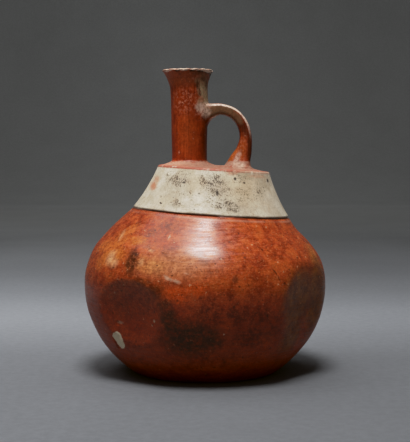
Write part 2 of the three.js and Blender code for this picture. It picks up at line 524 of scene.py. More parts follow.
def bendStrap(px, py, along):  # px points outwards and py sideways on the unit circle
    centre, ahead = strapPlace(along)
    ends = smooth(along, 0, 0.16) * (1 - smooth(along, 0.8, 1))
    power = mix(2.1, strap["square"], ends)
    fill = (abs(px) ** power + abs(py) ** power) ** (-1 / power)
    out = px * fill * stationValue("thick", along) / 2
    side = py * fill * stationValue("wide", along) / 2
    if along > 0.4:
        widens, thickens = strap["footWide"], strap["footThick"]
        side += 0.5 * fillet(centre.z - widens[0], widens[1]) * py
        out += 0.35 * fillet(centre.z - thickens[0], thickens[1]) * px
    place = Vector((centre.x - ahead.z * out, side, centre.z + ahead.x * out))
    if along < 0.4:  # fillets over, under and beside the weld to the tube
        away = place.x - (spout["x"] + spout["radius"])
        place.z += 0.8 * fillet(away, 2.2) * max(px, 0) - fillet(away, 7) * max(-px, 0)
        place.y += 0.2 * fillet(away, 5) * py
    rough = 0.2 * noise.noise(place / 9) + 0.07 * noise.noise(place / 3.2)
    place += (place - centre).normalized() * rough
    root = strap["rootRadius"]
    saddle = root - sqrt(root * root - min(abs(side), 8.6) ** 2)  # its end wraps round the tube
    place.x -= saddle * (1 - smooth(centre.x, spout["x"] + root, spout["x"] + root + 8))
    place.z = mix(place.z, centre.z, smooth(along, 0.86, 1))  # the foot ends level, inside the dome
    return place


def makeStrap():
    deselectAll()
    bpy.ops.mesh.primitive_circle_add(vertices=strap["sides"], radius=1, fill_type="NGON")
    handle = bpy.context.object
    handle.name = "strapHandle"
    editMode("SELECT")
    for _ in range(strap["steps"]):
        extrude(0, 0, 1)
    objectMode()
    selectParts(handle, "FACE", lambda face: len(face.vertices) > 4)
    bpy.ops.mesh.poke()
    objectMode()
    for vertex in handle.data.vertices:
        px, py, step = vertex.co
        if hypot(px, py) > 0.5:
            vertex.co = bendStrap(px, py, round(step) / strap["steps"]) * mm
        else:
            vertex.co = strapPlace(round(step) / strap["steps"])[0] * mm
    editMode("SELECT")
    bpy.ops.mesh.normals_make_consistent(inside=False)
    objectMode()
    for face in handle.data.polygons:
        face.material_index = finishes.index("top")
    return handle


# Flakes: the faces round each are made finer, and what lies in its outline is pressed in

flakes = [  # places where the surface has spalled off
    {"x": -59.6, "z": 28.8, "wide": 3.4, "tall": 6.4, "lean": -22, "deep": 0.75},
    {"x": -60.6, "z": 41.6, "wide": 2.6, "tall": 1.7, "lean": 12, "deep": 0.3},
]


def surfacePlace(x, z):  # the place on the body's front that shows at x, and how its bearing turns it
    up = z - vessel["widest"]
    half = vessel["upperRise"] if up > 0 else vessel["lowerDepth"]
    radius = vessel["bodyRadius"] * sqrt(max(1 - (up / half) ** 2, 0))
    radius = max(radius, abs(x) + 4)
    place = Vector((x, -sqrt(radius * radius - x * x), z))
    return place, atan2(x, -place.y)


def flakeReach(flake):
    return 1.4 * flake["tall"] + 4


def nearFlake(place):
    away = [(place - surfacePlace(f["x"], f["z"])[0]).length - flakeReach(f) for f in flakes]
    return min(away) < 2.5


def spallFlakes(shell):
    selectParts(shell, "FACE", lambda face: nearFlake(face.center / mm))
    bpy.ops.mesh.subdivide(number_cuts=3)
    objectMode()
    for flake in flakes:
        centre, bearing = surfacePlace(flake["x"], flake["z"])
        inwards = Vector((-sin(bearing), cos(bearing), 0.35)).normalized()
        sideways = Vector((cos(bearing), sin(bearing), 0))
        tilt = radians(flake["lean"])
        for vertex in shell.data.vertices:
            offset = vertex.co / mm - centre
            if offset.length > flakeReach(flake):
                continue
            across = offset.dot(sideways)
            a = (across * cos(tilt) + offset.z * sin(tilt)) / flake["wide"]
            b = (offset.z * cos(tilt) - across * sin(tilt)) / flake["tall"]
            away = hypot(a, b) + 0.3 * noise.noise(vertex.co / mm / 2.8)
            bite = flake["deep"] * (1 - smooth(away, 0.82, 1.02))
            vertex.co += inwards * (bite * (1 + 0.2 * noise.noise(vertex.co / mm / 1.3)) * mm)
        shell.data.update()


def makeBottle():
    shell = makeShell()
    paintZones(shell)
    moveVertices(shell, settle)
    spallFlakes(shell)
    handle = makeStrap()
    for piece in (shell, handle):
        for name in finishes:
            piece.data.materials.append(materials[name])
    join = shell.modifiers.new("weld the handle on", "BOOLEAN")
    join.operation = "UNION"
    join.solver = "EXACT"
    join.object = handle
    deselectAll()
    shell.select_set(True)
    bpy.context.view_layer.objects.active = shell
    bpy.ops.object.modifier_apply(modifier=join.name)
    bpy.data.objects.remove(handle)
    bpy.ops.object.shade_smooth()
    print("bottle", len(shell.data.polygons), "faces")
    return shell


# Materials. Each kind of mark has a tone, how soft its edge is, and ovals of x, z, half width, half height,
# lean in degrees and strength, in millimetres where they show from the front. One that is broken up by fine
# noise also has the noise's range and how much of the mark is left at either end of it.

bodyMarks = {
    "ochre": {"tone": (0.66, 0.2, 0.035), "soft": 0.5, "broken": (0.36, 0.56, 0.45, 1), "ovals": [
        (-62.2, 86.6, 12.8, 6, -10, 0.85), (-67.5, 92.2, 11.6, 4.1, 0, 0.6),
        (-58.6, 94.9, 11, 3.4, -20, 0.55), (-44.4, 97.1, 6.8, 2.7, 0, 0.7),
        (-34.2, 81.6, 8.6, 4.5, 0, 0.85), (-41.6, 83.7, 3.8, 4.6, 0, 0.8),
        (-52.8, 101.4, 9.8, 4.1, -25, 0.5), (-71.1, 81.7, 6.7, 5.4, 0, 0.5),
        (76.4, 86.7, 9.3, 4.9, -30, 0.8), (64.2, 73.7, 3, 2.3, 0, 0.7),
    ]},
    "paleOchreAndSheen": {"tone": (0.86, 0.44, 0.22), "soft": 0.85, "broken": (0.35, 0.6, 0.75, 1), "ovals": [
        (-63.2, 85.2, 3.9, 4, -8, 0.95), (-60.5, 82.3, 3.3, 2.7, 0, 0.75),
        # the broad oval at -20, 83.4 is painted sheen round the highlight; the others are pale ochre
        # patches
        (-41.6, 84.3, 2.3, 2.9, 0, 0.7), (-35.2, 91.4, 1.9, 1, 20, 0.6), (-20, 83.4, 24, 8, 0, 0.44),
        (-55.5, 100, 1.6, 3.4, -32, 0.55),
    ]},
    "soot": {"tone": (0.074, 0.017, 0.003), "soft": 0.55, "broken": (0.68, 0.42, 0.5, 1), "ovals": [
        (-48, 84.2, 4.4, 7.8, -4, 0.9), (-48.3, 77.3, 4.4, 3, 0, 0.5), (-41.4, 71.6, 6.7, 2.4, 5, 0.6),
        (-32.6, 66.6, 5.6, 5, 30, 0.65), (-26.5, 57.7, 4.8, 6, 15, 0.7), (-24, 49.3, 6, 6, 20, 0.9),
        (-20.5, 42.5, 7.6, 7, 20, 0.95), (-10.4, 35, 17, 12.2, 0, 1), (1.6, 34.5, 9, 8, 0, 0.95),
        (-35, 102, 4.6, 3.2, 0, 0.4), (-21.8, 106.4, 9, 4, 0, 0.42), (-36.2, 93.8, 3.4, 1.6, 10, 0.5),
    ]},
    "smoke": {"tone": (0.16, 0.014, 0.001), "soft": 0.6, "broken": (0.62, 0.4, 0.4, 1), "ovals": [
        (-54.3, 58, 20.2, 12, 0, 0.36), (-40.6, 60.3, 8.8, 9.1, 20, 0.4), (4, 52.5, 9, 8, 0, 1),
        (13.6, 64, 5.2, 3.2, 0, 0.5), (21.4, 51.5, 8, 7, 0, 0.95), (35.8, 50.1, 7, 6, 0, 0.95),
        (30.1, 35.4, 9.8, 6.5, 0, 0.85), (44, 41.2, 6.2, 9.1, 0, 0.6), (0.2, 20.7, 26.1, 3.9, 0, 0.3),
    ]},
    "greyCloud": {"soft": 0.42, "ovals": [
        (67.5, 57, 20, 21, 0, 0.774), (67, 71, 15, 6.4, 0, 0.45), (80.5, 60, 14, 33, 0, 0.81),
        (60.5, 34, 11, 15, 14, 0.72),
    ]},
    "embers": {"tone": (0.66, 0.085, 0.006), "soft": 0.5, "ovals": [
        (-18.4, 63.9, 7.9, 5.1, 0, 0.8), (-5.6, 67.9, 5.8, 3.2, 0, 0.5), (14.3, 45.1, 3.3, 2.2, 0, 0.5),
        (40.2, 32.4, 4.6, 4.6, 0, 0.35),
    ]},
    "scuffsAndGlints": {"tone": (0.62, 0.4, 0.27), "soft": 0.6, "ovals": [
        # the first two ovals are painted highlights, soft glints; the others are pale scuffs
        (-23.9, 74.7, 3.2, 1, 28, 0.62), (-18.6, 73, 3, 0.9, 12, 0.62), (-34.4, 45.9, 0.6, 1.1, 8, 0.9),
        (-35.9, 42.6, 0.6, 0.5, 0, 0.6), (12.4, 38.6, 0.5, 0.5, 0, 0.8), (-62.2, 62.6, 0.7, 0.5, 0, 0.6),
        (-59.6, 42.4, 2.3, 0.9, 0, 0.5), (-12, 77.8, 1.8, 0.5, 20, 0.3),
        (-23.1, 100.6, 0.4, 1.5, 12, 0.8),
    ]},
    "scratches": {"tone": (0.04, 0.008, 0.004), "soft": 0.5, "ovals": [
        (45.9, 77.8, 0.4, 3, -30, 0.8), (48.9, 73.2, 0.4, 2.4, -22, 0.7), (53, 70.3, 0.3, 2, -40, 0.6),
        (19.4, 74.4, 2.2, 2.1, 0, 0.6),
    ]},
    "chips": {"soft": 0.08, "ovals": [
        (-59.8, 32, 4.6, 3.4, -22, 1), (-58.5, 29.6, 4.8, 3.6, -16, 1), (-57.4, 27.4, 4.8, 3.6, -10, 1),
    ]},
}

shoulderMarks = {
    "char": {"soft": 0.75, "ovals": [
        (-19.6, 137.3, 10, 6.6, 0, 0.75), (-14.8, 139.4, 6.4, 5.4, 0, 0.7),
        (-25.3, 138.6, 5.4, 6.5, 0, 0.6), (6.3, 134.8, 8, 7.6, 0, 0.95), (12.4, 129.8, 6, 5.4, 0, 0.7),
        (-1, 137.4, 6.4, 5.4, 0, 0.7), (14.3, 120.8, 12, 5, 6, 0.85), (21, 118.6, 6.4, 4, 0, 0.7),
        (5.6, 124.5, 8, 4, 0, 0.55), (19.3, 143.6, 3, 4, 0, 0.9), (24.1, 138.7, 5, 4, 0, 0.7),
        (38, 130.4, 7, 8, 0, 0.6), (44.1, 135.7, 2.8, 3.5, 0, 0.5), (-19.4, 121.9, 4.7, 3.4, 0, 0.6),
        (-5.8, 116.9, 4, 2, 0, 0.6), (-12, 128, 9, 5, 0, 0.5), (23.9, 126.7, 9, 7, 0, 0.6),
        (4.9, 128.8, 5, 4, 0, 0.65),
    ]},
    "dots": {"tone": (0.03, 0.018, 0.014), "soft": 0.4, "ovals": [
        (-30.2, 121.9, 0.9, 0.5, 20, 1), (43.9, 136.9, 0.8, 1.4, -15, 0.95),
        (26.8, 135.6, 0.9, 0.7, 20, 0.8), (20.5, 138.4, 0.9, 1.1, 0, 0.9), (-14.1, 136, 1, 0.7, 0, 0.8),
        (-21.5, 125.9, 0.4, 0.4, 0, 0.6), (-4, 128.6, 0.7, 0.6, 0, 0.7), (8.3, 128.8, 0.9, 2, 0, 0.8),
        (-7.2, 118.2, 0.7, 0.5, 0, 0.7), (-30.2, 126.3, 0.3, 0.8, 0, 0.6),
        (16.2, 131.7, 0.5, 0.6, 0, 0.7),
    ]},
    "stains": {"tone": (0.33, 0.25, 0.17), "soft": 0.7, "ovals": [
        (-20.4, 120.9, 3, 2.3, 0, 0.5), (-16.8, 134.6, 9.5, 6.1, 0, 0.4), (7.6, 132.1, 9.4, 7.4, 0, 0.5),
        (15.6, 119.5, 12.1, 4, 5, 0.4), (-23.7, 130.5, 6.1, 5.5, 0, 0.3), (39.5, 133.8, 5.5, 5.5, 0, 0.3),
        (27.6, 140.1, 4.1, 3.4, 0, 0.35),
    ]},
    "rust": {"tone": (0.52, 0.12, 0.035), "soft": 0.5, "ovals": [
        (-36.2, 133.5, 2.6, 3.5, 22, 0.675), (-34.1, 137.7, 2.1, 2.8, 18, 0.45),
        (18.6, 142.8, 4.1, 2, 0, 0.45), (36.8, 140, 6.2, 1.4, 4, 0.3),
    ]},
    "tan": {"tone": (0.5, 0.36, 0.21), "soft": 0.7, "ovals": [
        (27.4, 130.6, 17.7, 12.2, 0, 0.5), (39.1, 123.7, 8.2, 8.2, 0, 0.25),
        (-5.9, 134.7, 6.8, 6.8, 0, 0.3), (-29.2, 123.7, 5.5, 4.1, 0, 0.25),
    ]},
}

topMarks = {
    "khaki": {"tone": (0.44, 0.34, 0.2), "soft": 0.4, "broken": (0.36, 0.5, 0.45, 1), "ovals": [
        (-1.6, 203, 3.6, 8, 0, 0.9), (0.6, 196, 2.4, 8, 0, 0.9), (-4, 206.6, 3, 2.4, 0, 0.6),
        (-3, 192, 2.4, 3, 0, 0.5),
    ]},
    "olive": {"tone": (0.19, 0.105, 0.055), "soft": 0.3, "ovals": [
        (6.9, 186, 7, 5, 0, 0.9), (14.9, 187, 6.5, 4.4, -8, 0.9), (21.8, 181.4, 3.4, 6, -45, 0.8),
    ]},
    "drips": {"tone": (0.06, 0.014, 0.006), "soft": 0.5, "ovals": [
        (-5.4, 204, 0.8, 4, 0, 0.9), (-3.6, 199, 0.7, 3.6, -8, 0.8), (0.8, 205, 0.7, 3.6, 0, 0.6),
        (-1.4, 208.6, 2, 2, 0, 0.8),
    ]},
    "cream": {"tone": (0.6, 0.41, 0.31), "soft": 0.5, "broken": (0.36, 0.54, 0.5, 1), "ovals": [
        (-2.8, 188, 4, 3.4, 30, 0.9), (0.6, 184.5, 3, 3.6, 30, 0.85), (3, 191, 4, 1.6, 0, 0.8),
        (22.4, 151.6, 1.6, 6, 24, 0.7), (25, 147.4, 3, 2.6, 0, 0.8),
    ]},
    "pinkScars": {"tone": (0.55, 0.24, 0.15), "soft": 0.7, "broken": (0.48, 0.62, 0, 1), "ovals": [
        (-14, 193, 7, 8, 0, 0.5), (-17, 196.6, 1, 1.2, 0, 0.7), (-15.4, 191.6, 0.8, 0.8, 0, 0.9),
        (-17.8, 156.5, 0.9, 1.3, 0, 0.95), (-9, 210, 4, 1.8, 0, 0.75), (26, 160, 3, 9, 10, 0.3),
        (-3, 194, 4, 8, 0, 0.6), (-1.4, 187, 6, 6, 0, 0.6), (24, 152, 4, 5, 0, 0.5),
    ]},
    "umberAndShade": {"tone": (0.06, 0.012, 0.004), "soft": 0.6, "ovals": [
        # the ovals at x 0.6, 1.2 and 31.8, down the spout's right side and the strap's outer edge, are
        # painted shade
        (-1, 212.4, 8, 1.8, 0, 0.8), (2, 209, 3, 4, 0, 0.6), (1.2, 178, 3, 8, 0, 0.5),
        (27.5, 174, 3, 7, -30, 0.75), (31.8, 158, 1.8, 14, 0, 0.8), (0.6, 164, 3.4, 15, 0, 0.75),
    ]},
    "orange": {"tone": (0.56, 0.16, 0.03), "soft": 0.6, "ovals": [
        (19, 154, 2.4, 8.5, 36, 0.55), (-12, 168, 6, 16, 0, 0.12), (26, 158, 3, 8, 8, 0.3),
    ]},
    "lipNicks": {"tone": (0.035, 0.008, 0.003), "soft": 0.35, "ovals": [
        (-19.4, 213.6, 2.2, 0.8, 0, 0.8), (-13.4, 213.8, 1.8, 0.7, 0, 0.9), (-9, 213.6, 2.4, 0.9, 0, 0.9),
        (-3.4, 213.4, 2.6, 0.8, 0, 0.85), (1.6, 213, 1.6, 0.7, 0, 0.8), (4.8, 211.6, 1.8, 3.4, -14, 0.95),
    ]},
    "lipChips": {"soft": 0.4, "ovals": [
        (-15.6, 214.3, 4.6, 0.8, 0, 1), (-7, 214.4, 4, 0.6, 0, 0.8), (0.6, 213.9, 4, 1.1, 8, 0.95),
        (-25.4, 214, 3, 0.6, -8, 0.7),
    ]},
}

redSlip = {
    "deep": (0.34, 0.045, 0.009),
    "bright": (0.44, 0.07, 0.013),
    "warm": (0.58, 0.125, 0.026),
    "dark": (0.15, 0.016, 0.002),
    # the lower body's darker tone, partly painted shade
    "lower": (0.33, 0.027, 0.003),
    "cloudDark": (0.15, 0.038, 0.004),
    "cloudPale": (0.27, 0.088, 0.01),
    "paleFleck": (0.64, 0.25, 0.11),
    "darkFleck": (0.11, 0.013, 0.003),
    # darker at the foot, mostly painted shade with some grime
    "foot": (0.03, 0.006, 0.002),
    "crack": (0.08, 0.012, 0.004),
    "paleSpeck": (0.66, 0.32, 0.17),
    "darkSpeck": (0.07, 0.012, 0.003),
    # painted highlight along the lip just below the groove
    "grooveLipHighlight": (0.6, 0.3, 0.2),
    # the groove's dark line: red slip in the groove, darkened with painted shade
    "groove": (0.1, 0.02, 0.008),
    "chipDark": (0.74, 0.56, 0.36),
    "chipPale": (0.95, 0.84, 0.64),
    "shine": 0.55,
    "heights": {  # between which each of them comes in
        "warm": (56, 82),
        "lower": (74, 44),
        "paleFleck": (46, 78),
        "paleSpeck": (56, 76),
        "dull": (70, 46),  # its foot is hardly burnished
        "foot": (22, 4),
    },
    # heights below the groove: of the painted highlight on its lip, and of the groove's dark line
    "belowGroove": {"edgeLow": (-3.4, -2.4), "edgeHigh": (-1.3, -1.9), "groove": (-1.2, -0.4)},
}

creamSlip = {
    "deep": (0.56, 0.47, 0.35),
    "bright": (0.7, 0.62, 0.49),
    "buff": (0.5, 0.37, 0.24),
    "chalky": (0.76, 0.7, 0.6),
    "crack": (0.2, 0.13, 0.08),
    "charTint": (0.2, 0.16, 0.12),
    "charSpot": (0.05, 0.036, 0.028),
    "topEdge": (0.44, 0.12, 0.07),
    # the groove's line on the shoulder: red slip, darkened with painted shade
    "grooveDark": (0.1, 0.03, 0.012),
    "groovePale": (0.3, 0.09, 0.045),
    "shine": 0.35,
    "aboveGroove": {"groove": (0.6, 0.1), "paler": (4, 26), "topEdge": (29.5, 30.1)},
}

topSlip = {
    "deep": (0.24, 0.028, 0.006),
    "bright": (0.36, 0.05, 0.009),
    "paleStreak": (0.46, 0.09, 0.02),
    "darkStreak": (0.13, 0.014, 0.004),
    "flare": (0.42, 0.14, 0.06),
    "domeWorn": (0.42, 0.225, 0.155),
    "domeRed": (0.32, 0.07, 0.028),
    "domeEdge": (0.42, 0.09, 0.05),
    # worn slip and painted highlight on the strap
    "strapWearAndHighlight": (0.88, 0.67, 0.54),
    "lip": (0.78, 0.62, 0.48),
    "speck": (0.58, 0.28, 0.17),
    "shine": 0.35,
    "heights": {"dome": (151, 150), "strapWearAndHighlight": (164, 180), "flare": (200, 208)},
    "domeMiddle": (shoulderMiddle + 2.1, 0, 0),
    "domeReach": (36.4, 37.6),
    "domeRim": (33, 32.4),  # its height above the groove
}

bareClay = {
    "dark": (0.16, 0.06, 0.03),
    "pale": (0.3, 0.13, 0.065),
    "slip": (0.3, 0.05, 0.012),
    "lip": (0.58, 0.4, 0.28),
    "shine": 0.5,
}

wornLip = (214.2, 214.7)  # the heights between which the slip gives way to worn clay
markDepth = {"body": 16, "shoulder": 34, "top": 18}  # how far a mark reaches in and out from its middle
markMiddle = {"shoulder": -38, "top": -8}  # its y; on the body it lies on the surface


def addNode(tree, kind, inputs=None, **settings):
    new = tree.nodes.new(kind)
    for key, value in settings.items():
        setattr(new, key, value)
    for key, value in (inputs or {}).items():
        feed(tree, new.inputs[key], value)
    return new


def feed(tree, socket, value):  # links a socket, or sets a plain value
    if isinstance(value, bpy.types.NodeSocket):
        tree.links.new(value, socket)
    else:
        socket.default_value = (*value, 1) if socket.type == "RGBA" else value


def sums(tree, operation, a, b=0.0):
    return addNode(tree, "ShaderNodeMath", {0: a, 1: b}, operation=operation).outputs[0]


def plus(tree, first, *others):
    for other in others:
        first = sums(tree, "ADD", first, other)
    return first


def times(tree, first, *others):
    for other in others:
        first = sums(tree, "MULTIPLY", first, other)
    return first


def vectors(tree, operation, *values, output=0):
    new = addNode(tree, "ShaderNodeVectorMath", dict(enumerate(values)), operation=operation)
    return new.outputs[output]


def axes(tree, vector):  # its x, y and z
    return addNode(tree, "ShaderNodeSeparateXYZ", {0: vector}).outputs


def blend(tree, share, a, b, kind="MIX"):
    inputs = {"Factor": share, 6: a, 7: b}
    return addNode(tree, "ShaderNodeMix", inputs, data_type="RGBA", blend_type=kind).outputs[2]


def shaded(tree, colour, shade):
    return blend(tree, 1.0, colour, shade, "MULTIPLY")


def between(tree, value, low, high, toLow=0.0, toHigh=1.0):  # a soft step from low to high
    inputs = {"Value": value, "From Min": low, "From Max": high, "To Min": toLow, "To Max": toHigh}
    new = addNode(tree, "ShaderNodeMapRange", inputs, interpolation_type="SMOOTHSTEP", clamp=False)
    return new.outputs[0]


def cloudy(tree, place, size, detail=3.0, roughness=0.55, output=0):  # noise in patches of that size
    inputs = {"Vector": place, "Scale": 1 / size, "Detail": detail, "Roughness": roughness}
    return addNode(tree, "ShaderNodeTexNoise", inputs).outputs[output]


def ragged(tree, place, size, amount):  # the place, pushed about so that edges come out ragged
    push = cloudy(tree, place, size, 4.0, 0.65, "Color")
    wander = vectors(tree, "SUBTRACT", push, (0.5, 0.5, 0.5))
    return vectors(tree, "MULTIPLY_ADD", wander, (amount, amount, amount), place)


def newGroup(name, inputs, outputs):  # a vector's default is None or three numbers
    group = bpy.data.node_groups.new(name, "ShaderNodeTree")
    for label, default in inputs.items():
        kind = "NodeSocketFloat" if isinstance(default, float) else "NodeSocketVector"
        made = group.interface.new_socket(label, in_out="INPUT", socket_type=kind)
        if default is not None:
            made.default_value = default
    for label in outputs:
        group.interface.new_socket(label, in_out="OUTPUT", socket_type="NodeSocketFloat")
    return group, addNode(group, "NodeGroupInput").outputs, addNode(group, "NodeGroupOutput").inputs


def makeMarkGroup():  # one oval mark, laid over the marks below it
    defaults = {"Place": None, "Centre": None, "Turn": None, "Size": (1, 1, 1)}
    defaults.update({"Softness": 0.4, "Strength": 1.0, "Below": 0.0})
    group, given, out = newGroup("oval mark", defaults, ["Mask"])
    pairs = (("Vector", "Place"), ("Location", "Centre"), ("Rotation", "Turn"), ("Scale", "Size"))
    inputs = {socket: given[name] for socket, name in pairs}
    local = addNode(group, "ShaderNodeMapping", inputs, vector_type="TEXTURE")
    away = vectors(group, "LENGTH", local.outputs[0], output="Value")
    outer = sums(group, "ADD", 1.0, given["Softness"])
    inner = sums(group, "SUBTRACT", 1.0, given["Softness"])
    mask = times(group, between(group, away, inner, outer, 1.0, 0.0), given["Strength"])
    feed(group, out["Mask"], sums(group, "MAXIMUM", mask, given["Below"]))
    return group


def makeSpeckGroup():  # small round specks, each in its own size
    defaults = {"Place": None, "Spacing": 3.0, "Share": 0.2, "Size": 0.3}
    group, given, out = newGroup("specks", defaults, ["Mask"])
    inputs = {"Vector": given["Place"], "Scale": sums(group, "DIVIDE", 1.0, given["Spacing"])}
    cells = addNode(group, "ShaderNodeTexVoronoi", inputs, feature="F1").outputs
    chance = addNode(group, "ShaderNodeSeparateColor", {0: cells["Color"]}).outputs
    chosen = sums(group, "LESS_THAN", chance[0], given["Share"])
    size = times(group, given["Size"], sums(group, "ADD", 0.4, chance[1]))
    spot = between(group, cells["Distance"], times(group, size, 0.6), size, 1.0, 0.0)
    feed(group, out["Mask"], times(group, spot, chosen))
    return group


def makeGrainGroup():  # the grain of fired clay: fine tone, streaks along the burnish, and their relief
    names = ["Tone", "Streaks", "Relief"]
    group, given, out = newGroup("clay grain", {"Place": None, "Stretch": (0.08, 0.08, 1)}, names)
    fine = cloudy(group, given["Place"], 1.3, 4.0, 0.65)
    streaks = cloudy(group, vectors(group, "MULTIPLY", given["Place"], given["Stretch"]), 1.1, 3.0, 0.6)
    relief = plus(group, times(group, fine, 0.35), times(group, streaks, 0.65))
    for name, value in zip(names, (fine, streaks, relief)):
        feed(group, out[name], value)
    return group


def makeCrazingGroup():  # fine cracks, here and there
    group, given, out = newGroup("crazing", {"Place": None, "Spacing": 5.0, "Width": 0.04}, ["Mask"])
    inputs = {"Vector": given["Place"], "Scale": sums(group, "DIVIDE", 1.0, given["Spacing"])}
    cells = addNode(group, "ShaderNodeTexVoronoi", inputs, feature="DISTANCE_TO_EDGE").outputs
    line = between(group, cells["Distance"], 0.0, given["Width"], 1.0, 0.0)
    broken = between(group, cloudy(group, given["Place"], 6), 0.5, 0.62)
    feed(group, out["Mask"], times(group, line, broken))
    return group


groups = {
    "mark": makeMarkGroup(),
    "specks": makeSpeckGroup(),
    "grain": makeGrainGroup(),
    "crazing": makeCrazingGroup(),
}


def useGroup(tree, name, **inputs):
    return addNode(tree, "ShaderNodeGroup", inputs, node_tree=groups[name]).outputs


def markPlace(x, z):  # the middle of a mark, which way it faces and how deep it reaches
    if z < vessel["neckHeight"]:
        return *surfacePlace(x, z), markDepth["body"]
    part = "shoulder" if z < vessel["rimHeight"] else "top"
    return Vector((x, markMiddle[part], z)), 0, markDepth[part]


def layMarks(tree, place, kind, grit=None):  # the mask of one kind of mark
    mask = 0.0
    for x, z, wide, tall, tilt, strength in kind["ovals"]:
        centre, bearing, depth = markPlace(x, z)
        turn = (0, radians(tilt), bearing)
        shape = {"Centre": centre, "Turn": turn, "Size": (wide, depth, tall), "Softness": kind["soft"]}
        mask = useGroup(tree, "mark", Place=place, Strength=strength, Below=mask, **shape)[0]
    if "broken" in kind:
        mask = times(tree, mask, between(tree, grit, *kind["broken"]))
    return mask


def paintMarks(tree, colour, place, kind, grit=None):  # lays one kind of mark over the colour
    return blend(tree, layMarks(tree, place, kind, grit), colour, kind["tone"])


def startMaterial(name):  # a new material, its shader and the place on the piece in millimetres
    material = bpy.data.materials.new(name)
    material.use_nodes = True
    tree = material.node_tree
    coordinates = addNode(tree, "ShaderNodeTexCoord").outputs["Object"]
    place = addNode(tree, "ShaderNodeVectorMath", {0: coordinates, "Scale": 1 / mm}, operation="SCALE")
    return material, tree, tree.nodes["Principled BSDF"], place.outputs[0]


def finishShader(tree, shader, colour, rough, shine):
    feed(tree, shader.inputs["Base Color"], colour)
    feed(tree, shader.inputs["Roughness"], rough)
    shader.inputs["Specular IOR Level"].default_value = shine


def addRelief(tree, shader, height, strength, distance):
    inputs = {"Strength": strength, "Distance": distance * mm, "Height": height}
    feed(tree, shader.inputs["Normal"], addNode(tree, "ShaderNodeBump", inputs).outputs[0])


def aboveGroove(tree, place):  # height above the groove, square to the leaning shoulder
    foot = (shoulderMiddle, 0, vessel["neckHeight"])
    inputs = {"Vector": place, "Location": foot, "Rotation": (0, vessel["tip"], 0)}
    return axes(tree, addNode(tree, "ShaderNodeMapping", inputs, vector_type="TEXTURE").outputs[0])[2]


